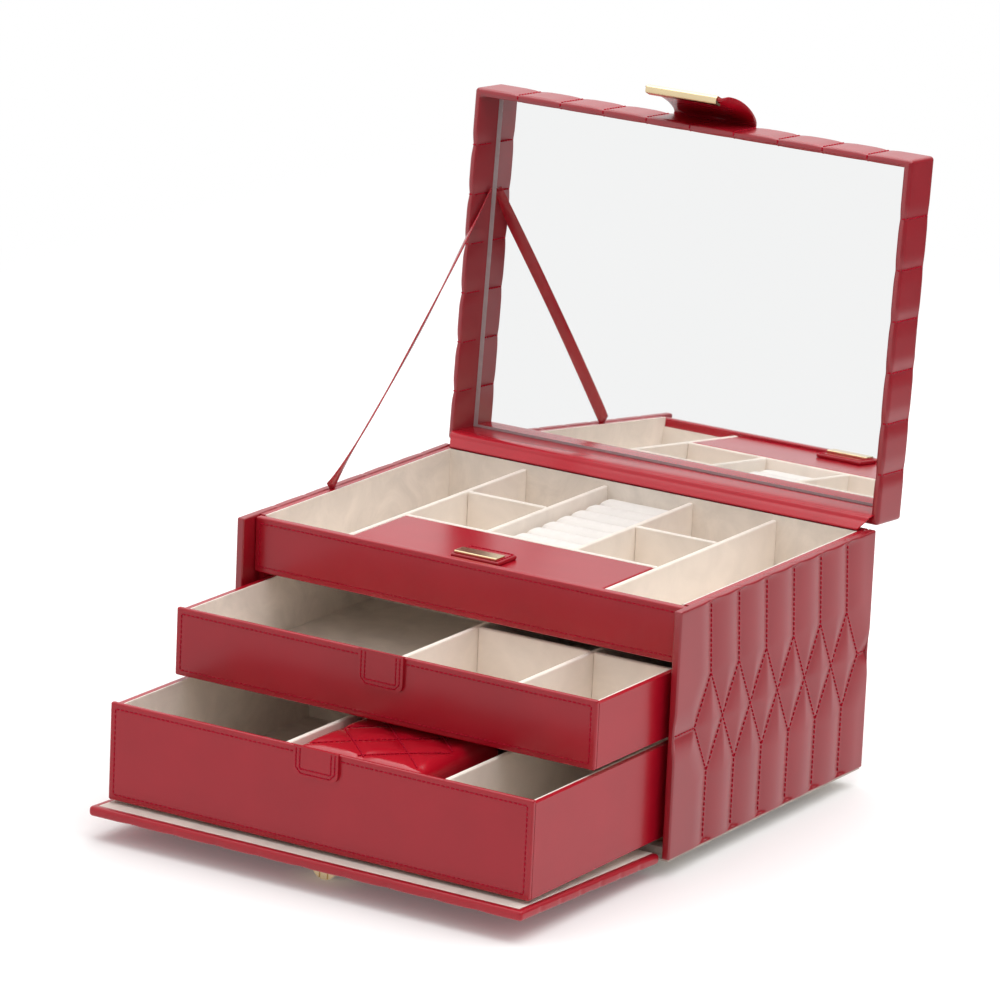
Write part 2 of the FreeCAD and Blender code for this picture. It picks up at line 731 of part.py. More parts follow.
def travel_block(low, high, inset):
    """A block with rounded upright corners, drawn in by an inset."""
    block = box((low[0] + inset, low[1] + inset, low[2]), (high[0] - inset, high[1] - inset, high[2]))
    uprights = [e for e in block.Edges if abs(e.Vertexes[0].Z - e.Vertexes[-1].Z) > SAME_LEVEL]
    return block.makeFillet(travel_corner - inset, uprights)


def travel_half(low, high, outer_z):
    """One padded half of the travel case, its outer rim softened."""
    block = travel_block(low, high, 0)
    rim = [e for e in block.Edges if all(abs(v.Z - outer_z) < SAME_LEVEL for v in e.Vertexes)]
    return block.makeFillet(travel_edge, rim)


def lower_drawer_pieces():
    nodes, room = drawer_pieces("lower", lower_drawer_out, lower_facing_low, lower_facing_height,
                                lower_pull_height)
    nodes["lower_drawer_dividers"] = drawer_dividers(room, lower_divider_xs)
    half = divider_thickness / 2
    left = lower_divider_xs[0] + half + travel_gap
    right = lower_divider_xs[1] - half - travel_right_gap
    front = room["front"] + travel_gap
    back = front + travel_length
    low = room["low"]
    top = room["rim"] - travel_headroom
    zip_low = (low + top - travel_zip_height) / 2
    zip_top = zip_low + travel_zip_height
    nodes["travel_case_base"] = travel_half((left, front, low), (right, back, zip_low), low)
    nodes["travel_case_zip"] = travel_block((left, front, zip_low), (right, back, zip_top), travel_zip_inset)
    cover = travel_half((left, front, zip_top), (right, back, top), top)
    middle_x = (left + right) / 2
    middle_y = (front + back) / 2
    reach = right - left + travel_length
    cutters = []
    for k in (-1, 0, 1):
        for slant in (-1, 1):
            x = middle_x + k * travel_seam_pitch * 2
            start = (x - reach, middle_y - slant * reach)
            end = (x + reach, middle_y + slant * reach)
            cutters.append(seam_cutter(start, end, top, travel_seam_width, travel_seam_depth))
    nodes["travel_case_cover"] = cover.cut(cutters)
    zip_middle = (zip_low + zip_top) / 2
    pull_x = right + zip_pull_gap
    nodes["travel_zip_pull"] = soft_box(
        (pull_x, middle_y - zip_pull_length / 2, zip_middle - zip_pull_width / 2),
        (pull_x + zip_pull_thickness, middle_y + zip_pull_length / 2, zip_middle + zip_pull_width / 2),
        zip_pull_thickness / 4)
    return nodes


def build():
    nodes = {}
    for maker in (base_pieces, wall_pieces, carcass_pieces, tray_pieces, compartment_lid_pieces,
                  lid_pieces, lock_tab_pieces, bridging_pieces, flap_pieces, upper_drawer_pieces,
                  lower_drawer_pieces):
        nodes.update(maker())
    os.makedirs("parts", exist_ok=True)
    for name, shape in nodes.items():
        shape.exportStep("parts/" + name + ".step")
    print(len(nodes), "nodes")


build()
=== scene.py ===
import json
import math

import bpy
import numpy as np
from mathutils import Matrix, Vector


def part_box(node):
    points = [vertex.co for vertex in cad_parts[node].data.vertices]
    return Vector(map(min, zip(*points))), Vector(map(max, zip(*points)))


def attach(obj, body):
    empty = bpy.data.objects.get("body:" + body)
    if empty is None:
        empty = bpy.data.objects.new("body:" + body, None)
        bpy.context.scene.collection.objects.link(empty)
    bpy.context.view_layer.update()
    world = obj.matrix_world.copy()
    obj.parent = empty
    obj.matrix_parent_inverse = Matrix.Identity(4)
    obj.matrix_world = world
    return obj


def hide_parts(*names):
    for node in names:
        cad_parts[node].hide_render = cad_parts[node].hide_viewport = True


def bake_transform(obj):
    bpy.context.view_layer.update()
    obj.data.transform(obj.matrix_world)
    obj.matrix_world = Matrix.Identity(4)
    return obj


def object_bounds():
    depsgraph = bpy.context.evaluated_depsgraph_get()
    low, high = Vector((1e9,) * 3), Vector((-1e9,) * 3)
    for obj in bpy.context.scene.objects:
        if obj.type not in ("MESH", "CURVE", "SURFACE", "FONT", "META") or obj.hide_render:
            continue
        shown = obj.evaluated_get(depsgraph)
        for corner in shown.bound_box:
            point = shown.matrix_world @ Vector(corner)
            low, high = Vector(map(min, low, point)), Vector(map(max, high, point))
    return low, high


# A quilted leather jewellery case, open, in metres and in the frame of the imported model.
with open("model.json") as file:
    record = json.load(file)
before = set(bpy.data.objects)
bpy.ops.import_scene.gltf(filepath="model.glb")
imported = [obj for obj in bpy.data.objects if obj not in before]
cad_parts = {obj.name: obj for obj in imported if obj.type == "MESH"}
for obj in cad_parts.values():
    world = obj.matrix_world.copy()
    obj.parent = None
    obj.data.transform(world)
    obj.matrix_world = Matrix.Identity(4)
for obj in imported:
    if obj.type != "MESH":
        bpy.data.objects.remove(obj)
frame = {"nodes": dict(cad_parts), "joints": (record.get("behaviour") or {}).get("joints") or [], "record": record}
nodes = frame["nodes"]
cad_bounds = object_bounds()
MM = 0.001
scene = bpy.context.scene

# Camera
camera_target = Vector((-0.0162, -0.0354, 0.1640))
camera_distance = 3.3749
camera_azimuth = 31.455
camera_elevation = 15.26
camera_roll = 2.579
camera_lens = 224.66
camera_sensor = 36.0
camera_far = 50.0

# Quilting
side_columns = 7
back_columns = 10
lid_columns = 10
side_front_margin = 9.0 * MM
side_back_margin = -5.0 * MM
side_lean = 4.0 * MM
lid_side_margin = 4.2 * MM
fork_low_share = 0.295
fork_high_share = 0.692
quilt_cell = 1.4 * MM
quilt_depth = 2.4 * MM
quilt_reach = 14.5 * MM
seam_softness = 0.4 * MM
seam_rise = 0.3 * MM
quilt_fade = 3.0 * MM
quilt_edge_share = 0.4
wall_radius = 1.1 * MM
top_crease_depth = 0.4 * MM
top_crease_reach = 2.5 * MM
wall_proud = 0.2 * MM
wall_lap = 0.5 * MM
padded_fill = 0.8
round_steps = 4

# Lid and flap
lid_open_angle = 93.87
lid_radius = 2.2 * MM
lid_cell = 1.2 * quilt_cell
lid_rim_lap = 0.1 * MM
lid_seam_depth = 0.9 * MM
lid_seam_reach = 9.0 * MM
lid_inner_seam = 17.0 * MM
lid_pocket_edge = 0.02 * MM
lid_pocket_depth = 1.0 * MM
flap_slope = 2.03
flap_radius = 2.0 * MM
flap_lining_edge = 0.3 * MM
flap_lining_sink = 0.4 * MM
flap_seam_depth = 0.45 * MM
flap_crease_reach = 3.0 * MM

# Mirror
bevel_width = 3.0 * MM
bevel_drop = 0.35 * MM
# The bevel's grey is a painted reflection: a polished bevel shows what it mirrors, and this grey stands in for it.
painted_bevel_reflection = (0.55, 0.53, 0.54)

# Lock tab
tab_rest_angle = 20.6
tab_length = 41.0 * MM
tab_root_half = 26.0 * MM
tab_swell = {-1: -1.5 * MM, 1: 3.5 * MM}
tab_end_half = 26.0 * MM
tab_corner = 4.0 * MM
tongue_root = (5.0 * MM, 1.5 * MM)
tongue_hang = ((3.5 * MM, 0.2 * MM), (14.0 * MM, -1.2 * MM), (28.0 * MM, -1.0 * MM), (tab_length, 0.0))
tongue_loop = 40
tongue_side_power = 0.3
tongue_face_power = 0.4
tongue_curl = 2.6 * MM
tongue_curl_start = 21.0 * MM
nose_steps = 10
nose_sink = 0.2 * MM
nose_rise = 1.4 * MM
nose_sharp_angle = 40.0

# Ring rolls
roll_count = 8
roll_gap = 0.3 * MM
roll_radius = 6.0 * MM
roll_sink = 6.0 * MM
roll_cell = 1.6 * MM
roll_fill = 0.9

# Travel case
travel_radius = 7.5 * MM
travel_cell = 1.5 * MM
travel_crown = 1.0 * MM
travel_crown_power = 4
travel_seams_each_side = 3
travel_seam_pitch = 34.0 * MM
travel_seam_depth = 1.3 * MM
travel_seam_reach = 8.0 * MM
travel_seam_inset = 6.0 * MM
travel_seam_steps = 10
travel_shortest_share = 0.05
travel_fill = 0.7

# Stitching
stitch_pitch = 2.9 * MM
stitch_trim = 1.6 * MM
stitch_length = 2.2 * MM
thread_radius = 0.42 * MM
quilt_thread_radius = 0.33 * MM
thread_stations = ((-0.5, 0.25), (-0.36, 1.0), (0.36, 1.0), (0.5, 0.25))
thread_sides = 5
thread_aside = (0.31, 0.52, 0.79)
lid_thread_rise = 0.3 * thread_radius
inner_thread_rise = 0.2 * thread_radius
flap_thread_rise = 0.4 * thread_radius
border_inset = 3.3 * MM
border_rise = 0.05 * MM
tab_stitch_pitch = 2.3 * MM
tab_insets = (1.9 * MM, 4.3 * MM)
tab_cut = 5.0 * MM
tab_seam_top = 1.0 * MM
shortest_seam = 0.1 * MM
panel_seam_inset = 3.0 * MM
panel_seam_end = 2.0 * MM
compartment_tab_inset = 1.4 * MM

# Hinge strips
path_steps = 8
strip_thickness = 0.9 * MM
strip_chamfer = 0.3 * MM
strip_chamfer_share = 0.2
hinge_face_inset = 0.5 * MM
hinge_rim_gap = 0.3 * MM
hinge_mirror_gap = 0.2 * MM
hinge_arch = 0.5 * MM
hinge_flare = (0.0, 2.5 * MM, 4.5 * MM)
flap_strip_thickness = 0.8 * MM
flap_strip_drop = 0.9 * MM
flap_strip_lift = 0.3 * MM
flap_strip_inset = 1.0 * MM

# Stay strap
strap_steps = 60
strap_thickness = 0.9 * MM
strap_half = 3.4 * MM
strap_root_spread = 1.0 * MM
strap_root_share = 0.05
strap_bottom_inset = (5.0 * MM, 0.3 * MM)
strap_top_inset = (2.0 * MM, 4.0 * MM)
strap_slack = Vector((2.6 * MM, 0, -1.6 * MM))
strap_twist = 36.0
strap_twist_share = 0.1
strap_waver = 7.0
strap_waver_rate = 9.0
strap_section = ((-1, -0.5), (-0.9, -1), (0.9, -1), (1, -0.5), (1, 0.5), (0.9, 1), (-0.9, 1), (-1, 0.5))

# Studio
sky_colour = (1.0, 0.99, 0.98)
horizon_light = 0.16
zenith_light = 0.85
floor_half = 8.0
floor_shades = (0.92, 0.93)
floor_lift = 0.1
floor_in_reflections = 0.96
footprint_edge = (0.7, 1.2)
distance_fade = (3.5, 7.0)
card_brightness = 0.12
card_height = 0.75
card_corners = ((0.22, 0.95, 0), (0.95, 0.55, 0), (1.05, -0.45, 0), (0.75, -1.1, 0), (0.1, -1.35, 0))

# Lamps: name, place, aim, size, power, and whether reflections show it
lamps = (
    ("overhead", (0.1, 0.45, 1.9), (0, 0.1, 0.1), (3.0, 2.6), 42, True),
    ("front_left", (-1.6, -1.9, 1.5), (0, 0, 0.15), (1.6, 1.6), 5, False),
    ("right_back", (1.5, 2.0, 1.2), (0, 0, 0.15), (1.8, 1.4), 9, False),
)

# Colours
WHITE = (1.0, 1.0, 1.0)
RED = (0.42, 0.005, 0.017)
CREAM = (0.89, 0.81, 0.73)


def turn_about(y, z, degrees):
    """A turn about an axis parallel to X through a point of the side view."""
    hub = Vector((0, y, z))
    swing = Matrix.Rotation(math.radians(degrees), 4, "X")
    return Matrix.Translation(hub) @ swing @ Matrix.Translation(-hub)


joint_places = {j["name"]: j.get("pos_m") for j in frame["joints"]}
lid_turn = turn_about(*joint_places["lid_hinge"][1:], -lid_open_angle)
flap_turn = turn_about(*joint_places["front_flap_hinge"][1:], -flap_slope)


def box_in(node, turn):
    """A node's lowest and highest corners before the given turn."""
    inverse = turn.inverted()
    points = np.array([inverse @ v.co for v in nodes[node].data.vertices])
    return points.min(0), points.max(0)


def apply_turn(turn, points):
    """Many points moved by one matrix."""
    matrix = np.array(turn)
    return np.asarray(points) @ matrix[:3, :3].T + matrix[:3, 3]


# Procedural materials


class NodeTree:
    """A shader tree under construction."""

    def __init__(self, tree):
        self.tree = tree

    def feed(self, socket, value):
        """Sets an input to a value, or links it to an output."""
        if isinstance(value, bpy.types.NodeSocket):
            self.tree.links.new(value, socket)
        else:
            socket.default_value = value

    def node(self, kind, **values):
        """A new node with its inputs fed by name, where an underscore stands for a space."""
        made = self.tree.nodes.new("ShaderNode" + kind)
        for name, value in values.items():
            self.feed(made.inputs[name.replace("_", " ")], value)
        return made

    def arithmetic(self, operation, *values):
        """One sum on values that are sockets or numbers."""
        made = self.node("Math")
        made.operation = operation
        for socket, value in zip(made.inputs, values):
            self.feed(socket, value)
        return made.outputs["Value"]

    def mixed(self, factor, first, second):
        """One shader where a factor is 0 and another where it is 1."""
        made = self.node("MixShader", Fac=factor)
        self.feed(made.inputs[1], first)
        self.feed(made.inputs[2], second)
        return made.outputs["Shader"]

    def surface(self, output, shader):
        self.feed(self.tree.nodes[output].inputs["Surface"], shader)


class Finish(NodeTree):
    """A material under construction, with its texture coordinates in metres of the object."""

    def __init__(self, name, roughness, metallic=0.0, specular=0.5):
        self.material = bpy.data.materials.new(name)
        self.material.use_nodes = True
        super().__init__(self.material.node_tree)
        self.shader = self.tree.nodes["Principled BSDF"]
        self.shader.inputs["Roughness"].default_value = roughness
        self.shader.inputs["Metallic"].default_value = metallic
        self.shader.inputs["Specular IOR Level"].default_value = specular
        self.places = self.node("TexCoord").outputs["Object"]

    def stretched(self, scale):
        """The coordinates scaled unevenly, for a grain that runs one way."""
        return self.node("Mapping", Scale=scale, Vector=self.places).outputs["Vector"]

    def noise(self, scale, detail=3.0, roughness=0.5, distortion=0.0, places=None):
        made = self.node("TexNoise", Scale=scale, Detail=detail, Roughness=roughness, Distortion=distortion,
                         Vector=places or self.places)
        return made.outputs["Fac"]

    def bands(self, scale, direction, distortion=0.0):
        made = self.node("TexWave", Scale=scale, Distortion=distortion, Vector=self.places)
        made.bands_direction = direction
        return made.outputs["Fac"]

    def tones(self, factor, colour, dark, light, low=0.3, high=0.7):
        """The base colour, from a darker to a lighter shade of one colour as a factor rises."""
        made = self.node("ValToRGB", Fac=factor)
        for element, place, shade in zip(made.color_ramp.elements, (low, high), (dark, light)):
            element.position = place
            element.color = (*shaded(colour, shade), 1)
        self.feed(self.shader.inputs["Base Color"], made.outputs["Color"])

    def vary_roughness(self, factor, low, high):
        made = self.node("MapRange", Value=factor, To_Min=low, To_Max=high)
        self.feed(self.shader.inputs["Roughness"], made.outputs["Result"])

    def smooth_step(self, factor, low, high):
        """0 below one value of a factor, 1 above another, and smooth between them."""
        made = self.node("MapRange", Value=factor, From_Min=low, From_Max=high)
        made.interpolation_type = "SMOOTHSTEP"
        return made.outputs["Result"]

    def bump(self, heights, strength, distance):
        """Relief from weighted heights, each a pair of a texture and its weight."""
        total = 0.0
        for source, weight in heights:
            total = self.arithmetic("MULTIPLY_ADD", source, weight, total)
        made = self.node("Bump", Strength=strength, Distance=distance, Height=total)
        self.feed(self.shader.inputs["Normal"], made.outputs["Normal"])


def shaded(colour, factor):
    return tuple(min(1.0, channel * factor) for channel in colour)


def leather(name, colour, roughness, specular=0.5):
    """Fine-grained leather with slight changes of colour and gloss."""
    gloss_change = 0.025
    finish = Finish(name, roughness, specular=specular)
    finish.tones(finish.noise(scale=26, detail=5), colour, dark=0.93, light=1.05)
    patches = finish.noise(scale=90, detail=4)
    finish.vary_roughness(patches, roughness - gloss_change, roughness + gloss_change)
    grain = finish.noise(scale=850, roughness=0.6)
    pores = finish.noise(scale=2600, detail=2)
    finish.bump([(grain, 0.7), (pores, 0.3)], strength=0.12, distance=0.15 * MM)
    return finish.material


def suede(name, colour, mottle):
    """Matt microsuede whose nap lies this way and that."""
    finish = Finish(name, roughness=0.95, specular=0.15)
    nap = finish.noise(scale=34, detail=5, roughness=0.62, distortion=1.2)
    finish.tones(nap, colour, dark=1 - mottle, light=1 + mottle * 0.5, low=0.35, high=0.66)
    finish.shader.inputs["Sheen Weight"].default_value = 0.22
    finish.shader.inputs["Sheen Roughness"].default_value = 0.5
    fibres = finish.noise(scale=2600, roughness=0.7)
    finish.bump([(fibres, 1.0), (nap, 0.6)], strength=0.25, distance=0.2 * MM)
    return finish.material


def felt(name, colour):
    """Pressed felt with its fibres showing."""
    finish = Finish(name, roughness=1.0, specular=0.1)
    fibres = finish.noise(scale=900, detail=5, roughness=0.75)
    finish.tones(fibres, colour, dark=0.8, light=1.1)
    finish.bump([(fibres, 1.0)], strength=0.5, distance=0.4 * MM)
    return finish.material


def gold(name, colour):
    """Gold-tone plated metal with a faint unevenness in its gloss."""
    finish = Finish(name, roughness=0.2, metallic=1.0)
    finish.tones(finish.noise(scale=60), colour, dark=0.96, light=1.03)
    finish.vary_roughness(finish.noise(scale=700, detail=4), 0.14, 0.26)
    finish.bump([(finish.noise(scale=1500, detail=2), 1.0)], strength=0.04, distance=0.1 * MM)
    return finish.material


def ground_glass(name, colour):
    """The mirror's bevel, ground and polished; its grey base colour is a painted reflection in place of what the
    bevel mirrors.
    """
    finish = Finish(name, roughness=0.25)
    finish.tones(finish.noise(scale=300, detail=2), colour, dark=0.95, light=1.05)
    return finish.material


def silvered_glass(name, colour):
    """The mirror's face."""
    finish = Finish(name, roughness=0.02, metallic=1.0)
    finish.tones(finish.noise(scale=8, detail=2), colour, dark=0.995, light=1.0)
    return finish.material


def wood(name, colour):
    """Plain wood with its grain along Y."""
    finish = Finish(name, roughness=0.6)
    along = finish.stretched((6.0, 0.5, 6.0))
    rings = finish.noise(scale=30, detail=5, roughness=0.6, distortion=0.8, places=along)
    finish.tones(rings, colour, dark=0.7, light=1.1)
    finish.bump([(rings, 1.0)], strength=0.2, distance=0.4 * MM)
    return finish.material


def woven_tape(name, colour):
    """Zip tape with a close weave."""
    finish = Finish(name, roughness=0.8, specular=0.25)
    weave = finish.bands(scale=1300, direction="Z")
    finish.tones(weave, colour, dark=0.7, light=1.15)
    finish.bump([(weave, 1.0), (finish.noise(scale=2200), 0.4)], strength=0.5, distance=0.3 * MM)
    return finish.material


def sewing_thread(name, colour):
    """Twisted thread with its plies showing."""
    finish = Finish(name, roughness=0.7, specular=0.12)
    ply = finish.bands(scale=1900, direction="DIAGONAL", distortion=1.0)
    finish.tones(ply, colour, dark=0.75, light=1.1)
    finish.bump([(ply, 1.0)], strength=0.35, distance=0.1 * MM)
    return finish.material


finishes = {
    # The quilted red is a darker copy of the red leather: painted shade, matched to the side walls and lid sides,
    # which get less light. The flap keeps the plain red.
    "quilted_leather": (leather, shaded(RED, 0.78), 0.305, 0.88),
    "flap_leather": (leather, RED, 0.305),
    # The hinge strip's red is a lighter copy of the red leather: painted light for the strip, which faces up into
    # the overhead lamp.
    "hinge_leather": (leather, shaded(RED, 1.35), 0.235, 0.6),
    "red_leather": (leather, shaded(RED, 0.97), 0.235),
    "travel_leather": (leather, (0.46, 0.004, 0.016), 0.2),
    "zip_tape": (woven_tape, (0.22, 0.004, 0.012)),
    "suede_lining": (suede, CREAM, 0.10),
    # The divider suede is a lighter copy of the lining suede: painted light for the divider tops, which catch the
    # light from above.
    "suede_divider": (suede, shaded(CREAM, 1.08), 0.05),
    "ring_roll_suede": (suede, (0.90, 0.86, 0.82), 0.03),
    "gold_metal": (gold, (0.80, 0.64, 0.39)),
    "mirror_glass": (silvered_glass, (0.93, 0.935, 0.935)),
    "base_felt": (felt, (0.62, 0.55, 0.48)),
    "runner_wood": (wood, (0.50, 0.36, 0.22)),
}
materials = {name: make(name + "_finish", *values) for name, (make, *values) in finishes.items()}
thread = sewing_thread("red_thread_finish", (0.50, 0.004, 0.027))

slot_of = {part["node"]: part["material_slot"] for part in frame["record"]["subparts"]}
for node_name, node_object in nodes.items():
    node_object.data.materials.clear()
    node_object.data.materials.append(materials[slot_of[node_name]])


# Meshes


def piece(name, points, faces, material, smooth=True):
    """A mesh object from points and faces."""
    mesh = bpy.data.meshes.new(name)
    mesh.from_pydata([tuple(map(float, p)) for p in points], [], [tuple(map(int, f)) for f in faces])
    mesh.materials.append(material)
    mesh.polygons.foreach_set("use_smooth", [smooth] * len(mesh.polygons))
    made = bpy.data.objects.new(name, mesh)
    scene.collection.objects.link(made)
    return made


def stands_for(made, body, slot, *replaced):
    """A piece that rides on a body and may take the place of CAD nodes."""
    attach(made, body)
    if replaced:
        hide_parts(*replaced)


def padded_piece(name, points, quads, finish, body, slot, fill, *replaced):
    """A padded piece in place of CAD nodes."""
    made = piece(name, points, quads, materials[finish])
    stands_for(made, body, slot, *replaced)


def grid_places(low, high, radius, cell, marks=()):
    """Grid lines along one axis: close together on the rounded ends, a cell apart between, and at marks."""
    arc = [radius * math.tan(math.pi / 4 * k / round_steps) for k in range(1, round_steps + 1)]
    count = max(1, round((high - low - 2 * radius) / cell))
    middle = np.linspace(low + radius, high - radius, count + 1)
    clear = [m for m in middle if all(abs(m - mark) > cell / 2 for mark in marks)]
    places = [low + radius - a for a in arc] + clear + list(marks) + [high - radius + a for a in arc]
    return np.array(sorted(places))


def block_surface(low, high, radius, cell, marks=((), (), ())):
    """Points and quads of a closed block, its grid lines placed for edges rounded with the given radius."""
    xs, ys, zs = (grid_places(low[n], high[n], radius, cell, marks[n]) for n in range(3))
    counts = (len(xs), len(ys), len(zs))
    quads = []
    for axis in range(3):
        a, b = [n for n in range(3) if n != axis]
        u, v = np.meshgrid(np.arange(counts[a]), np.arange(counts[b]), indexing="ij")
        for end in (0, counts[axis] - 1):
            grid = np.zeros(u.shape + (3,), int)
            grid[..., axis] = end
            grid[..., a] = u
            grid[..., b] = v
            key = np.ravel_multi_index(grid.reshape(-1, 3).T, counts).reshape(u.shape)
            corners = [key[:-1, :-1], key[1:, :-1], key[1:, 1:], key[:-1, 1:]]
            quad = np.stack(corners, -1).reshape(-1, 4)
            inward = (end == 0) != (axis == 1)
            quads.append(quad[:, ::-1] if inward else quad)
    quads = np.concatenate(quads)
    keys, index = np.unique(quads, return_inverse=True)
    places = np.stack(np.unravel_index(keys, counts), -1)
    points = np.stack([np.asarray(axis)[places[:, n]] for n, axis in enumerate((xs, ys, zs))], -1)
    return points, index.reshape(quads.shape)


def rounded(points, low, high, radius):
    """Block points moved onto a block with rounded edges, and their outward directions."""
    inner = np.clip(points, np.asarray(low) + radius, np.asarray(high) - radius)
    away = points - inner
    outward = away / np.linalg.norm(away, axis=1, keepdims=True)
    return inner + outward * radius, outward


def frame_marks(low, high, edge):
    """Grid places on both sides of a frame's step, for each of the three axes."""
    return [[low[n] - edge, low[n], high[n], high[n] + edge] for n in (0, 1)] + [[]]


def within(points, low, high, margin):
    """Which points lie inside a rectangle of the XY plane, give or take a margin."""
    plan = points[:, :2]
    return np.all((plan > low[:2] - margin) & (plan < high[:2] + margin), axis=1)


def seam_distance(points, seams):
    """Each point's distance from the nearest seam."""
    nearest = np.full(len(points), np.inf)
    for start, end in seams:
        start = np.asarray(start)
        run = np.asarray(end) - start
        along = np.clip((points - start) @ run / (run @ run), 0, 1)
        gap = np.linalg.norm(points - start - along[:, None] * run, axis=1)
        nearest = np.minimum(nearest, gap)
    return nearest


def sewn_down(points, seams, depth, reach):
    """How far padding is drawn in at each point: fully on a seam, and not at all out of its reach."""
    distance = seam_distance(points, seams)
    distance = np.sqrt(distance ** 2 + seam_softness ** 2) - seam_softness
    share = np.clip(distance / reach, 0, 1)
    return depth * (1 - share) ** 2


def seam_places(width, columns, first_margin=0.0, last_margin=0.0):
    """The width of a column and the places of the seams between columns."""
    pitch = (width - first_margin - last_margin) / columns
    return pitch, [first_margin + k * pitch for k in range(1, columns)]


def forked_seams(width, height, columns, first_margin=0.0, last_margin=0.0, lean=0.0):
    """Channel seams that fork into a row of diamonds across a panel's middle, and lean above it."""
    pitch, places = seam_places(width, columns, first_margin, last_margin)
    low = fork_low_share * height
    high = fork_high_share * height
    middle = (low + high) / 2
    seams = []
    for k, x in enumerate(places):
        seams.append(((x, 0), (x, low)))
        seams.append(((x, high), (x - lean, height)))
        for step in (-1, 1):
            if 0 <= k + step < len(places):
                seams.append(((x, high), (x + step * pitch, low)))
                continue
            turn = (x + step * pitch / 2, middle)
            edge = (0 if step < 0 else width, middle)
            seams.extend([((x, high), turn), (turn, (x, low)), (turn, edge)])
    return seams


def on_face(seams, origin, along, up):
    """Seams drawn flat, set on a face with the given corner and directions."""
    origin = np.array(origin, float)
    along = np.array(along, float)
    up = np.array(up, float)
    return [tuple(origin + along * x + up * y for x, y in seam) for seam in seams]


def tube_faces(rows, count, first=0):
    """Faces of a tube with flat ends, from rows of points numbered on from the first."""
    faces = []
    for row in range(rows - 1):
        for n in range(count):
            a = first + row * count + n
            b = first + row * count + (n + 1) % count
            faces.append((a, b, b + count, a + count))
    last = first + (rows - 1) * count
    faces.append(tuple(range(first, first + count))[::-1])
    faces.append(tuple(range(last, last + count)))
    return faces


def stitches(name, lines, body, lift, pitch=stitch_pitch, radius=thread_radius):
    """Short threads end to end along lines, each given by two ends and its outward direction."""
    points = []
    faces = []
    for start, end, out in lines:
        start = np.array(start, float)
        run = np.array(end, float) - start
        rise = np.array(out, float) * lift
        length = np.linalg.norm(run)
        ahead = run / length
        aside = np.cross(ahead, thread_aside)
        aside /= np.linalg.norm(aside)
        above = np.cross(ahead, aside)
        count = max(1, round(length / pitch))
        for k in range(count):
            middle = start + run * (k + 0.5) / count + rise
            rings = []
            for place, share in thread_stations:
                for n in range(thread_sides):
                    angle = 2 * math.pi * n / thread_sides
                    ring = aside * math.cos(angle) + above * math.sin(angle)
                    rings.append(middle + ahead * place * stitch_length + ring * share * radius)
            faces += tube_faces(len(thread_stations), thread_sides, len(points))
            points += rings
    stands_for(piece(name, points, faces, thread), body, "red_leather")


def trimmed(lines):
    """Lines with their outward directions, ending short of the rounded corners at both ends."""
    short = []
    for start, end, outward in lines:
        start = np.array(start, float)
        end = np.array(end, float)
        cut = (end - start) * stitch_trim / np.linalg.norm(end - start)
        short.append((start + cut, end - cut, outward))
    return short


def turned_lines(turn, lines):
    """Lines and their outward directions after a turn."""
    swing = np.array(turn)[:3, :3]
    return [(apply_turn(turn, a), apply_turn(turn, b), swing @ np.array(n, float)) for a, b, n in lines]


def ring_of(corners, outward):
    """Four lines round the corners of a flat border, with the face's direction."""
    return [(corners[k], corners[(k + 1) % 4], outward) for k in range(4)]


def loft(name, loops, material):
    """A closed skin through loops of equal length, with flat ends."""
    points = [p for loop in loops for p in loop]
    return piece(name, points, tube_faces(len(loops), len(loops[0])), material)


# Quilted walls


def side_wall(side):
    """One padded side wall, its leather turned over the wall's top."""
    name = "right" if side > 0 else "left"
    cover_low, cover_high = (np.array(c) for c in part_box(name + "_quilted_cover"))
    board_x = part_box("side_wall_boards")[1].x
    board_inner = board_x - (cover_high - cover_low)[0] + wall_lap
    outer = max(abs(cover_low[0]), abs(cover_high[0])) + wall_proud
    low = np.array([min(side * board_inner, side * outer), cover_low[1], cover_low[2]])
    high = np.array([max(side * board_inner, side * outer), cover_high[1], cover_high[2] + wall_proud])
    points, quads = block_surface(low, high, wall_radius, quilt_cell)
    points, outward = rounded(points, low, high, wall_radius)
    depth = high[1] - low[1]
    height = high[2] - low[2]
    origin = (side * outer, low[1] if side > 0 else high[1], low[2])
    margins = (side_front_margin, side_back_margin)[::side]
    lean = side * side_lean
    along = (0, side, 0)
    inward = (-side, 0, 0)
    seams = on_face(forked_seams(depth, height, side_columns, *margins, lean), origin, along, (0, 0, 1))
    tops = [x - lean for x in seam_places(depth, side_columns, *margins)[1]]
    over_top = on_face([((x, 0), (x, outer - board_inner)) for x in tops],
                       (side * outer, origin[1], high[2]), along, inward)
    drawn = sewn_down(points, seams, quilt_depth, quilt_reach)
    from_end = np.minimum(points[:, 2] - low[2], high[2] - points[:, 2])
    drawn *= quilt_edge_share + (1 - quilt_edge_share) * np.clip(from_end / quilt_fade, 0, 1)
    creased = sewn_down(points, over_top, top_crease_depth, top_crease_reach)
    outwardness = np.clip(outward[:, 0] * side, 0, 1)
    upwardness = np.clip(outward[:, 2], 0, 1)
    points = points - outward * np.maximum(drawn * outwardness, creased * upwardness)[:, None]
    padded_piece(name + "_padded_wall", points, quads, "quilted_leather", "case", "quilted_leather",
                 padded_fill, name + "_quilted_cover", "side_wall_boards")
    out = (side, 0, 0)
    stitches(name + "_wall_stitches", [(a, b, out) for a, b in seams], "case", seam_rise - quilt_depth,
             radius=quilt_thread_radius)


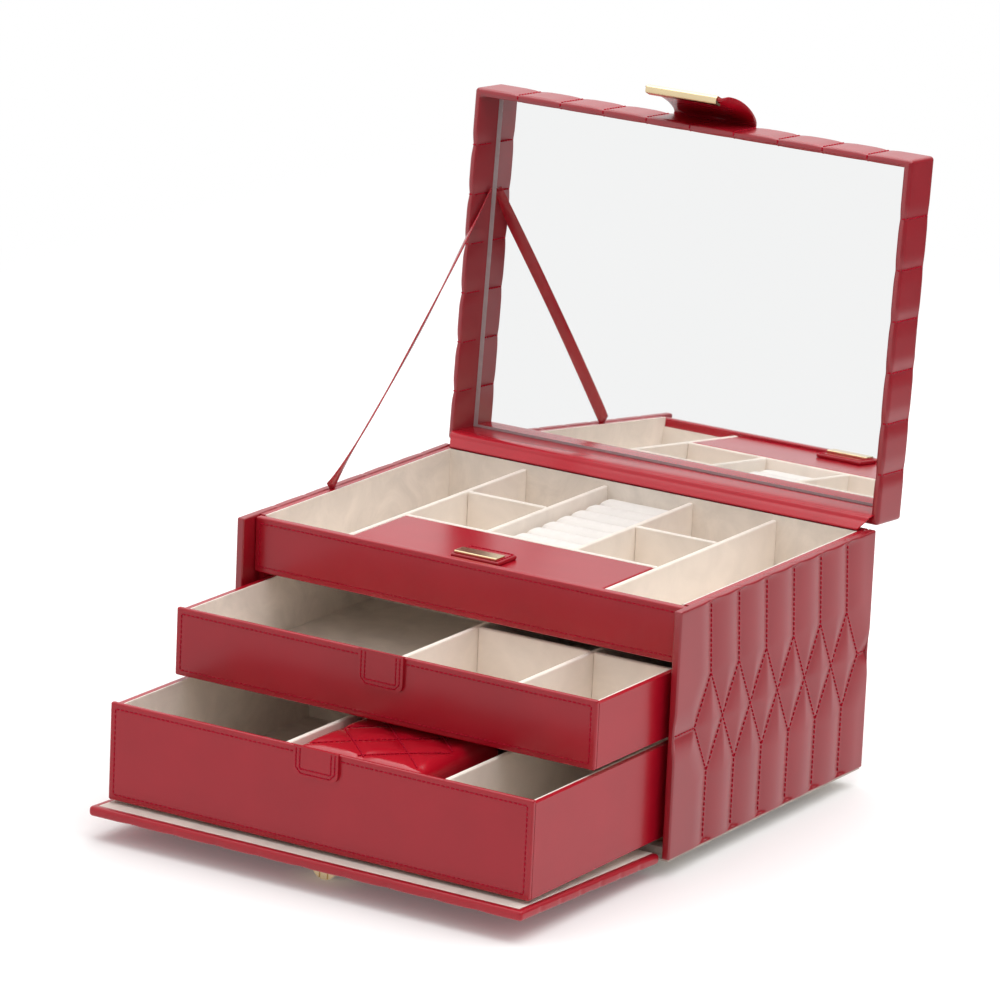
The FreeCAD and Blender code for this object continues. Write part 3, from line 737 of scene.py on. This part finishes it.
def back_wall():
    """The padded back wall between the two side walls."""
    cover_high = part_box("back_quilted_cover")[1]
    low, high = (np.array(c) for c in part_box("back_wall_board"))
    high[1:] = (cover_high.y + wall_proud, high[2] + wall_proud)
    points, quads = block_surface(low, high, wall_radius, quilt_cell)
    points, outward = rounded(points, low, high, wall_radius)
    seams = on_face(forked_seams(high[0] - low[0], high[2] - low[2], back_columns),
                    (high[0], high[1], low[2]), (-1, 0, 0), (0, 0, 1))
    drawn = sewn_down(points, seams, quilt_depth, quilt_reach) * np.clip(outward[:, 1], 0, 1)
    points = points - outward * drawn[:, None]
    padded_piece("back_padded_wall", points, quads, "quilted_leather", "case", "quilted_leather",
                 padded_fill, "back_quilted_cover", "back_wall_board")
    stitches("back_wall_stitches", [(a, b, (0, 1, 0)) for a, b in seams], "case", seam_rise - quilt_depth,
             radius=quilt_thread_radius)


# Lid


def lid_cover():
    """The lid's padded cover, turned over the rim and down inside to the mirror."""
    low, high = box_in("lid_quilted_cover", lid_turn)
    mirror_low, mirror_high = box_in("mirror_glass", lid_turn)
    inside_low = mirror_low[:2] - lid_rim_lap
    inside_high = mirror_high[:2] + lid_rim_lap
    edge = lid_pocket_edge
    marks = frame_marks(inside_low, inside_high, edge)
    points, quads = block_surface(low, high, lid_radius, lid_cell, marks)
    in_pocket = (points[:, 2] < low[2] + edge) & within(points, inside_low, inside_high, edge / 2)
    points, outward = rounded(points, low, high, lid_radius)
    width = high[0] - low[0]
    length = high[1] - low[1]
    top_seams = on_face(forked_seams(width, length, lid_columns),
                        (low[0], low[1], high[2]), (1, 0, 0), (0, 1, 0))
    xs = [low[0] + x for x in seam_places(width, lid_columns)[1]]
    ys = [low[1] + y for y in seam_places(length, side_columns, first_margin=lid_side_margin)[1]]
    foot = low[2]
    top = high[2]
    inner_top = foot + lid_inner_seam
    rim = inside_low[1] - low[1]
    side_seams = []
    rim_seams = []
    inner_seams = []
    for y, sign, inner in ((low[1], 1, inside_low[1]), (high[1], -1, inside_high[1])):
        side_seams += [((x, y, foot), (x, y, top), (0, -sign, 0)) for x in xs]
        rim_seams += [((x, y, foot), (x, y + sign * rim, foot), (0, 0, -1)) for x in xs]
        inner_seams += [((x, inner, foot), (x, inner, inner_top), (0, sign, 0)) for x in xs]
    for x, sign, inner in ((low[0], 1, inside_low[0]), (high[0], -1, inside_high[0])):
        side_seams += [((x, y, foot), (x, y, top), (-sign, 0, 0)) for y in ys]
        rim_seams += [((x, y, foot), (x + sign * rim, y, foot), (0, 0, -1)) for y in ys]
        inner_seams += [((inner, y, foot), (inner, y, inner_top), (sign, 0, 0)) for y in ys]
    drawn = np.maximum(
        sewn_down(points, top_seams, quilt_depth, quilt_reach) * np.clip(outward[:, 2], 0, 1),
        sewn_down(points, [s[:2] for s in side_seams + rim_seams], lid_seam_depth, lid_seam_reach)
        * np.clip(1 - outward[:, 2], 0, 1))
    drawn[in_pocket] = 0
    points = points - outward * drawn[:, None]
    points[in_pocket, 2] = mirror_low[2] + lid_pocket_depth
    padded_piece("lid_padded_cover", apply_turn(lid_turn, points), quads, "quilted_leather", "lid",
                 "quilted_leather", padded_fill, "lid_quilted_cover", "lid_side_rails", "lid_end_rails")

    def sewn(name, lines, lift):
        stitches(name, turned_lines(lid_turn, lines), "lid", lift)

    sewn("lid_top_stitches", [(a, b, (0, 0, 1)) for a, b in top_seams], seam_rise - quilt_depth)
    sewn("lid_side_stitches", trimmed(side_seams + rim_seams), lid_thread_rise - lid_seam_depth)
    sewn("lid_inner_stitches", trimmed(inner_seams), inner_thread_rise)


# Front flap


def flap_cover():
    """The flap's padded cover with its rounded red border round the lining."""
    low, high = box_in("flap_quilted_cover", flap_turn)
    lining_low, lining_high = box_in("flap_lining", flap_turn)
    edge = flap_lining_edge
    marks = frame_marks(lining_low, lining_high, edge)
    marks[1] = [m for m in marks[1] if m < high[1] - flap_radius]
    points, quads = block_surface(low, high, flap_radius, lid_cell, marks)
    sunk = (points[:, 2] > high[2] - edge) & within(points, lining_low, lining_high, edge / 2)
    points, outward = rounded(points, low, high, flap_radius)
    width = high[0] - low[0]
    length = high[1] - low[1]
    under = on_face(forked_seams(width, length, lid_columns),
                    (high[0], low[1], low[2]), (-1, 0, 0), (0, 1, 0))
    feet = [(low[0] + x, low[1]) for x in seam_places(width, lid_columns)[1]]
    for y in seam_places(length, side_columns)[1]:
        feet += [(x, low[1] + y) for x in (low[0], high[0])]
    creases = [((x, y, low[2]), (x, y, high[2])) for x, y in feet]
    drawn = np.maximum(
        sewn_down(points, under, flap_seam_depth, lid_seam_reach) * np.clip(-outward[:, 2], 0, 1),
        sewn_down(points, creases, flap_seam_depth, flap_crease_reach) * np.clip(1 - outward[:, 2], 0, 1))
    points = points - outward * drawn[:, None]
    points[sunk, 2] = high[2] - flap_lining_sink
    padded_piece("flap_padded_cover", apply_turn(flap_turn, points), quads, "flap_leather", "front_flap",
                 "quilted_leather", padded_fill, "flap_quilted_cover")
    lines = turned_lines(flap_turn, trimmed([(a, b, (0, 0, -1)) for a, b in under]))
    stitches("flap_stitches", lines, "front_flap", flap_thread_rise - flap_seam_depth)


# Soft pieces inside


def ring_roll_pad():
    """Padded rolls side by side, with rounded crowns and ends."""
    low, high = (np.array(c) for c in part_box("ring_rolls"))
    pitch = (high[1] - low[1] + roll_gap) / roll_count
    all_points = []
    all_quads = []
    for k in range(roll_count):
        roll_low = np.array([low[0], low[1] + k * pitch, low[2] - roll_sink])
        roll_high = np.array([high[0], low[1] + (k + 1) * pitch - roll_gap, high[2]])
        points, quads = block_surface(roll_low, roll_high, roll_radius, roll_cell)
        points, _ = rounded(points, roll_low, roll_high, roll_radius)
        all_quads.append(quads + sum(len(p) for p in all_points))
        all_points.append(points)
    padded_piece("ring_roll_pad", np.concatenate(all_points), np.concatenate(all_quads), "ring_roll_suede",
                 "case", "ring_roll_suede", roll_fill, "ring_rolls", "ring_roll_foam")


def travel_rise(points, low, high):
    """How far the travel case's padding stands up: full across the middle and nothing at the rim."""
    place = (points[..., :2] - (low + high)[:2] / 2) / ((high - low)[:2] / 2)
    return travel_crown * np.prod(np.clip(1 - place ** travel_crown_power, 0, 1), axis=-1)


def travel_half(name, node, seams=()):
    """One padded half of the travel case, crowned where it is quilted."""
    low, high = (np.array(c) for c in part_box(node))
    points, quads = block_surface(low, high, travel_radius, travel_cell)
    points, outward = rounded(points, low, high, travel_radius)
    if seams:
        drawn = sewn_down(points, seams, travel_seam_depth, travel_seam_reach)
        points[:, 2] += np.clip(outward[:, 2], 0, 1) * (travel_rise(points, low, high) - drawn)
    padded_piece(name, points, quads, "travel_leather", "lower_drawer", "travel_leather", travel_fill, node)


def clip_line(line, low_x, high_x):
    """The stretch of a line between two X places, or nothing."""
    start, end = (np.array(p) for p in line)
    run = end - start
    shares = [(x - start[0]) / run[0] for x in (low_x, high_x)]
    first = max(0.0, min(shares))
    last = min(1.0, max(shares))
    if last - first < travel_shortest_share:
        return None
    return start + run * first, start + run * last


def travel_case():
    """The small padded case in the lower drawer, quilted with crossing seams."""
    low, high = (np.array(c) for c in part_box("travel_case_cover"))
    middle = (low + high) / 2
    seams = []
    for k in range(-travel_seams_each_side, travel_seams_each_side + 1):
        for slant in (-1, 1):
            line = []
            for end in (-1, 1):
                reach = end * ((high[1] - low[1]) / 2 - travel_seam_inset)
                x = middle[0] + k * travel_seam_pitch + slant * reach
                line.append((x, middle[1] + reach, high[2]))
            seams.append(clip_line(line, low[0] + travel_seam_inset, high[0] - travel_seam_inset))
    seams = [s for s in seams if s]
    travel_half("travel_padded_cover", "travel_case_cover", seams)
    travel_half("travel_padded_base", "travel_case_base")
    threads = []
    for start, end in seams:
        path = np.linspace(start, end, travel_seam_steps + 1)
        path[:, 2] += travel_rise(path, low, high)
        threads += [(a, b, (0, 0, 1)) for a, b in zip(path, path[1:])]
    stitches("travel_stitches", threads, "lower_drawer", seam_rise - travel_seam_depth)


def mirror_plate():
    """The mirror with a shallow bevel all round its silvered face."""
    low, high = box_in("mirror_glass", lid_turn)
    rings = []
    for inset, z in ((0, high[2]), (0, low[2] + bevel_drop), (bevel_width, low[2])):
        left, near = low[:2] + inset
        right, far = high[:2] - inset
        rings.append([(left, near, z), (right, near, z), (right, far, z), (left, far, z)])
    points = apply_turn(lid_turn, [p for ring in rings for p in ring])
    bands = {}
    for row in (0, 4):
        bands[row] = [(row + (n + 1) % 4, row + n, row + 4 + n, row + 4 + (n + 1) % 4) for n in range(4)]
    faces = [(0, 1, 2, 3), (11, 10, 9, 8)] + bands[0]
    plate = piece("silvered_plate", points, faces, materials["mirror_glass"], smooth=False)
    stands_for(plate, "lid", "mirror_glass", "mirror_glass")
    # The bevel gets the painted-reflection grey.
    ground = ground_glass("ground_bevel_finish", painted_bevel_reflection)
    stands_for(piece("bevel_painted_reflection", points, bands[4], ground, smooth=False), "lid", "mirror_glass")


# Leather that crosses the hinges


def smooth_path(points):
    """Points along a Catmull-Rom curve through the given ones."""
    points = [np.array(p, float) for p in points]
    padded = [2 * points[0] - points[1]] + points + [2 * points[-1] - points[-2]]
    path = []
    for k in range(1, len(padded) - 2):
        a, b, c, d = padded[k - 1:k + 3]
        for n in range(path_steps):
            t = n / path_steps
            path.append(0.5 * (2 * b + (c - a) * t + (2 * a - 5 * b + 4 * c - d) * t ** 2
                               + (3 * b - a - 3 * c + d) * t ** 3))
    path.append(points[-1])
    return path


def square_to(path, n):
    """The direction square to a path of the side view at one of its points."""
    ahead = path[min(n + 1, len(path) - 1)] - path[max(n - 1, 0)]
    ahead /= np.linalg.norm(ahead)
    return np.cross((1, 0, 0), ahead)


def strip_between(name, side_view, half_widths, thickness, material):
    """A thin strip along X that follows a curve of the side view, its half width changing on the way."""
    path = smooth_path([(0, y, z) for y, z in side_view])
    halves = np.interp(np.arange(len(path)) / path_steps, np.arange(len(half_widths)), half_widths)
    under = strip_chamfer_share
    over = 1 - strip_chamfer_share
    loops = []
    for n, middle in enumerate(path):
        out = square_to(path, n)
        half = halves[n]
        flat = half - strip_chamfer
        section = ((-half, under), (-flat, 0), (flat, 0), (half, under),
                   (half, over), (flat, 1), (-flat, 1), (-half, over))
        loops.append([middle + np.array((x, 0, 0)) + out * thickness * depth for x, depth in section])
    return loft(name, loops, material)


def lid_hinge_strip():
    """The red leather strip between the tray and the mirror."""
    rails_low = box_in("lid_end_rails", lid_turn)[0]
    mirror_low, mirror_high = box_in("mirror_glass", lid_turn)
    strip_low, strip_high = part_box("lid_hinge_strip")
    face_y = mirror_high[1] - hinge_face_inset
    near = lid_turn @ Vector((0, face_y, rails_low[2] - hinge_rim_gap))
    far = lid_turn @ Vector((0, face_y - hinge_mirror_gap, mirror_low[2] - hinge_mirror_gap))
    root = Vector((0, strip_low.y, strip_low.z))
    middle = (root + near) / 2 + Vector((0, 0, hinge_arch))
    half_widths = [strip_high.x + flare for flare in hinge_flare] + [mirror_high[0]]
    # The strip takes the lighter hinge leather, whose extra brightness is painted light.
    strip = strip_between("lid_hinge_leather", [(p.y, p.z) for p in (root, middle, near, far)],
                          half_widths, strip_thickness, materials["hinge_leather"])
    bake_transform(strip)
    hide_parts("lid_hinge_strip")


def flap_hinge_strip():
    """The lining strip at the flap's root."""
    low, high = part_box("flap_hinge_strip")
    lining_top = box_in("flap_lining", flap_turn)[1][2]
    hinge_y = joint_places["front_flap_hinge"][1]
    seat = high.z - flap_strip_drop
    root = flap_turn @ Vector((0, low.y + flap_strip_inset, lining_top + flap_strip_lift))
    side_view = [(root.y, root.z), (hinge_y, seat), (high.y, seat)]
    strip = strip_between("flap_hinge_lining", side_view, (high.x, high.x, high.x), flap_strip_thickness,
                          materials["suede_lining"])
    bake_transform(strip)
    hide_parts("flap_hinge_strip")


def stay_strap():
    """The thin leather strap that holds the lid open, twisted along its length."""
    low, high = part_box("stay_strap")
    x = (low.x + high.x) / 2
    bottom = Vector((x, low.y + strap_bottom_inset[0], low.z + strap_bottom_inset[1]))
    top = Vector((x, high.y - strap_top_inset[0], high.z - strap_top_inset[1]))
    run = top - bottom
    ahead = run.normalized()
    flat = Vector((0, -ahead.z, ahead.y))
    edge_on = Vector((1, 0, 0))
    thick = strap_thickness / 2
    loops = []
    for n in range(strap_steps + 1):
        share = n / strap_steps
        middle = bottom + run * share + strap_slack * math.sin(math.pi * share)
        half = strap_half + strap_root_spread * math.exp(-share / strap_root_share)
        twist = math.radians(strap_twist) * (1 - math.exp(-share / strap_twist_share))
        twist += math.radians(strap_waver) * math.sin(share * strap_waver_rate)
        wide = flat * math.cos(twist) + edge_on * math.sin(twist)
        thin = ahead.cross(wide)
        loops.append([middle + wide * half * a + thin * thick * b for a, b in strap_section])
    strap = loft("stay_strap_leather", loops, materials["red_leather"])
    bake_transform(strap)
    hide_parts("stay_strap")


def lock_tongue():
    """The lock tab's leather, bent over the lid's edge and curling up to its end."""
    tab_low, tab_high = box_in("lock_tab_base", lid_turn)
    hinge = lid_turn.inverted() @ Vector(joint_places["lock_tab_hinge"])
    tab_turn = lid_turn @ turn_about(hinge.y, hinge.z, -tab_rest_angle)
    thickness = tab_high[2] - tab_low[2]
    middle = (tab_low[2] + tab_high[2]) / 2
    side_view = [lid_turn @ Vector((0, tab_low[1] + inset, middle)) for inset in tongue_root]
    for down, out in tongue_hang:
        side_view.append(tab_turn @ Vector((0, hinge.y - thickness / 2 + out, hinge.z - down)))
    path = smooth_path(side_view)
    steps = [np.linalg.norm(b - a) for a, b in zip(path, path[1:])]
    lengths = np.concatenate([[0], np.cumsum(steps)])
    loops = []
    for n, centre in enumerate(path):
        out = square_to(path, n)
        left = lengths[-1] - lengths[n]
        share = lengths[n] / lengths[-1]
        corner = 0.0
        if left < tab_corner:
            corner = tab_corner - math.sqrt(max(0, tab_corner ** 2 - (tab_corner - left) ** 2))
        loop = []
        for k in range(tongue_loop):
            angle = 2 * math.pi * (k + 0.5) / tongue_loop
            side = 1 if math.cos(angle) > 0 else -1
            half = tab_root_half + tab_swell[side] * math.sin(math.pi * share) - corner
            across = side * abs(math.cos(angle)) ** tongue_side_power * half
            above = abs(math.sin(angle)) ** tongue_face_power * thickness / 2
            above = math.copysign(above, math.sin(angle))
            curl = max(0, abs(across) - tongue_curl_start) / (tab_end_half - tongue_curl_start)
            above -= tongue_curl * share ** 2 * curl ** 2
            loop.append(centre + np.array((across, 0, 0)) + out * above)
        loops.append(loop)
    tongue = loft("lock_tongue", loops, materials["red_leather"])
    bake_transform(tongue)
    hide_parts("lock_tab_leather")
    clip_nose(tab_turn)


def clip_nose(tab_turn):
    """The clip's rounded end, where its plate folds round the tab."""
    low, high = box_in("lock_tab_clip", tab_turn)
    middle_y = (low[1] + high[1]) / 2
    half_y = (high[1] - low[1]) / 2
    half_round = [math.pi * k / nose_steps for k in range(nose_steps + 1)]
    ends = []
    for x in (low[0], high[0]):
        loop = []
        for angle in half_round:
            rise = nose_sink - math.sin(angle) * nose_rise
            loop.append((x, middle_y + math.cos(angle) * half_y, low[2] + rise))
        ends.append(apply_turn(tab_turn, loop))
    nose = loft("clip_nose", ends, materials["gold_metal"])
    nose.data.set_sharp_from_angle(angle=math.radians(nose_sharp_angle))
    stands_for(nose, "lock_tab", "gold_metal")


# Stitched borders


def stitched_borders():
    """Sewn borders on the fascia, the drawer facings and the covered compartment's lid."""
    front = (0, -1, 0)
    for node, body in (("fascia_panel", "case"), ("upper_drawer_facing", "upper_drawer"),
                       ("lower_drawer_facing", "lower_drawer")):
        low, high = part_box(node)
        left = low.x + border_inset
        right = high.x - border_inset
        bottom = low.z + border_inset
        top = high.z - border_inset
        corners = [(left, low.y, bottom), (right, low.y, bottom), (right, low.y, top), (left, low.y, top)]
        stitches(node + "_stitches", ring_of(corners, front), body, border_rise)
    for body in ("upper_drawer", "lower_drawer"):
        node = body + "_pull_tab"
        low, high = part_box(node)
        y = low.y
        top = high.z - tab_seam_top
        lines = []
        for inset in tab_insets:
            left = low.x + inset
            right = high.x - inset
            bottom = low.z + inset
            cut = max(0.0, tab_cut - inset)
            path = [(left, y, top), (left, y, bottom + cut), (left + cut, y, bottom),
                    (right - cut, y, bottom), (right, y, bottom + cut), (right, y, top)]
            lines += [(a, b, front) for a, b in zip(path, path[1:]) if math.dist(a, b) > shortest_seam]
        stitches(node + "_stitches", lines, body, border_rise, pitch=tab_stitch_pitch)
    up = (0, 0, 1)
    low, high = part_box("compartment_lid_panel")
    y = low.y + panel_seam_inset
    line = ((low.x + panel_seam_end, y, high.z), (high.x - panel_seam_end, y, high.z), up)
    stitches("compartment_lid_stitches", [line], "compartment_lid", border_rise)
    low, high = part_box("compartment_pull_tab")
    left = low.x + compartment_tab_inset
    right = high.x - compartment_tab_inset
    near = low.y + compartment_tab_inset
    far = high.y - compartment_tab_inset
    corners = [(left, near, high.z), (right, near, high.z), (right, far, high.z), (left, far, high.z)]
    stitches("compartment_tab_stitches", ring_of(corners, up)[1:], "compartment_lid", border_rise,
             pitch=tab_stitch_pitch)


# Studio


def set_camera():
    """The camera at the photograph's place."""
    azimuth = math.radians(camera_azimuth)
    elevation = math.radians(camera_elevation)
    back = Vector((math.sin(azimuth) * math.cos(elevation), -math.cos(azimuth) * math.cos(elevation),
                   math.sin(elevation)))
    right = Vector((0, 0, 1)).cross(back).normalized()
    up = back.cross(right)
    turn = Matrix((right, up, back)).transposed() @ Matrix.Rotation(math.radians(camera_roll), 3, "Z")
    data = bpy.data.cameras.new("camera")
    data.lens = camera_lens
    data.sensor_width = camera_sensor
    data.sensor_fit = "HORIZONTAL"
    data.clip_end = camera_far
    camera = bpy.data.objects.new("camera", data)
    camera.matrix_world = Matrix.Translation(camera_target + back * camera_distance) @ turn.to_4x4()
    scene.collection.objects.link(camera)
    scene.camera = camera


def area_light(name, place, aim, size, power, in_reflections):
    """A rectangular soft lamp."""
    data = bpy.data.lights.new(name, "AREA")
    data.shape = "RECTANGLE"
    data.size, data.size_y = size
    data.energy = power
    lamp = bpy.data.objects.new(name, data)
    lamp.location = place
    lamp.rotation_euler = (Vector(aim) - Vector(place)).to_track_quat("-Z", "Y").to_euler()
    lamp.visible_glossy = in_reflections
    scene.collection.objects.link(lamp)


def studio_world():
    """A sky that looks white to the camera and in reflections, and lights the object more gently."""
    world = bpy.data.worlds.new("studio")
    world.use_nodes = True
    tree = NodeTree(world.node_tree)
    path = tree.node("LightPath").outputs
    seen = tree.arithmetic("MAXIMUM", path["Is Camera Ray"], path["Is Glossy Ray"])
    seen = tree.arithmetic("MAXIMUM", seen, path["Is Transmission Ray"])
    split = tree.node("SeparateXYZ", Vector=tree.node("TexCoord").outputs["Generated"])
    sky = tree.node("MapRange", Value=split.outputs["Z"], To_Min=horizon_light, To_Max=zenith_light)
    lit = tree.node("Background", Color=(*sky_colour, 1), Strength=sky.outputs["Result"])
    white = tree.node("Background", Color=(*WHITE, 1), Strength=1.0)
    tree.surface("World Output", tree.mixed(seen, lit.outputs["Background"], white.outputs["Background"]))
    return world


def studio():
    """A white studio: pale floor, soft lamps and a background that reads white."""
    scene.view_settings.view_transform = "Standard"
    scene.world = studio_world()
    half = floor_half
    corners = [(-half, -half, 0), (half, -half, 0), (half, half, 0), (-half, half, 0)]
    piece("studio_floor", corners, [(0, 1, 2, 3)], floor_finish(), smooth=False)
    grey_card()
    for lamp in lamps:
        area_light(*lamp)


def floor_finish():
    """Matt white paper, lifted to white where it isn't in shadow and plain white far from the case."""
    finish = Finish("studio_floor_finish", roughness=1.0, specular=0.0)
    finish.tones(finish.noise(scale=3, detail=2), WHITE, *floor_shades)
    path = finish.node("LightPath").outputs
    by_camera = path["Is Camera Ray"]
    finish.feed(finish.shader.inputs["Emission Color"], (*WHITE, 1))
    lift = finish.arithmetic("MULTIPLY", by_camera, floor_lift)
    finish.feed(finish.shader.inputs["Emission Strength"], lift)
    split = finish.node("SeparateXYZ", Vector=finish.places)
    spans = []
    for axis, name in enumerate("XY"):
        low, high = (float(corner[axis]) for corner in cad_bounds)
        aside = finish.arithmetic("SUBTRACT", split.outputs[name], (low + high) / 2)
        aside = finish.arithmetic("ABSOLUTE", aside)
        spans.append(finish.arithmetic("DIVIDE", aside, (high - low) / 2))
    span = finish.arithmetic("MAXIMUM", *spans)
    clear = finish.smooth_step(span, *footprint_edge)
    mirrored = finish.arithmetic("MULTIPLY", path["Is Glossy Ray"], clear)
    distant = finish.arithmetic("MULTIPLY", by_camera, finish.smooth_step(span, *distance_fade))
    extra = finish.arithmetic("MULTIPLY", by_camera, 1 - floor_in_reflections)
    white = finish.node("Emission", Strength=finish.arithmetic("ADD", extra, floor_in_reflections))
    plain = finish.arithmetic("MAXIMUM", mirrored, distant)
    shader = finish.mixed(plain, finish.shader.outputs["BSDF"], white.outputs["Emission"])
    finish.surface("Material Output", shader)
    return finish.material


def grey_card():
    """A grey card round the right side, which only reflections see."""
    finish = Finish("grey_card_finish", roughness=1.0, specular=0.0)
    glow = finish.node("Emission", Color=(*WHITE, 1), Strength=card_brightness)
    finish.surface("Material Output", glow.outputs["Emission"])
    ends = [Vector(end) for end in card_corners]
    count = len(ends)
    points = ends + [end + Vector((0, 0, card_height)) for end in ends]
    faces = [(k, k + 1, k + 1 + count, k + count) for k in range(count - 1)]
    card = piece("grey_card", points, faces, finish.material, smooth=False)
    card.visible_camera = False
    card.visible_diffuse = False
    card.visible_shadow = False
    card.visible_transmission = False


for wall_side in (-1, 1):
    side_wall(wall_side)
back_wall()
lid_cover()
flap_cover()
ring_roll_pad()
travel_case()
lid_hinge_strip()
flap_hinge_strip()
stay_strap()
mirror_plate()
lock_tongue()
stitched_borders()
studio()
set_camera()
